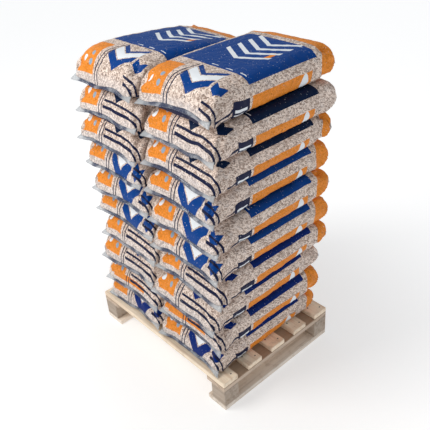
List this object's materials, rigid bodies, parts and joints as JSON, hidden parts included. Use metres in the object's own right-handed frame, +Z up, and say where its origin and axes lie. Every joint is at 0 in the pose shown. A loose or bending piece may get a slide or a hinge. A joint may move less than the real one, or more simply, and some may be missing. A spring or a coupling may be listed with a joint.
{
  "type": "half pallet of wood pellet sacks",
  "caption": "Timber half pallet with four corner blocks, loaded with two columns of flat-stacked, clear-film sacks of fuel pellets.",
  "frame": {"origin": "on the floor, under the middle of the pallet", "axes": "+Z up; +X along the pallet's 800 mm side and its deck boards; -Y towards the face with two sack ends side by side"},
  "size_m": [0.8134, 0.6517, 1.2867],
  "materials": {
    "pallet_wood": "matte",
    "sack_film": "satin"
  },
  "bodies": {
    "root": {"block_back_left": "pallet_wood", "block_back_right": "pallet_wood", "block_front_left": "pallet_wood", "block_front_right": "pallet_wood", "bottom_board_left": "pallet_wood", "bottom_board_right": "pallet_wood", "cross_board_left": "pallet_wood", "cross_board_right": "pallet_wood", "deck_board_1": "pallet_wood", "deck_board_2": "pallet_wood", "deck_board_3": "pallet_wood", "deck_board_4": "pallet_wood", "deck_board_5": "pallet_wood", "sack_left_01": "sack_film", "sack_left_02": "sack_film", "sack_left_03": "sack_film", "sack_left_04": "sack_film", "sack_left_05": "sack_film", "sack_left_06": "sack_film", "sack_left_07": "sack_film", "sack_left_08": "sack_film", "sack_left_09": "sack_film", "sack_left_10": "sack_film", "sack_right_01": "sack_film", "sack_right_02": "sack_film", "sack_right_03": "sack_film", "sack_right_04": "sack_film", "sack_right_05": "sack_film", "sack_right_06": "sack_film", "sack_right_07": "sack_film", "sack_right_08": "sack_film", "sack_right_09": "sack_film", "sack_right_10": "sack_film"}
  },
  "joints": []
}
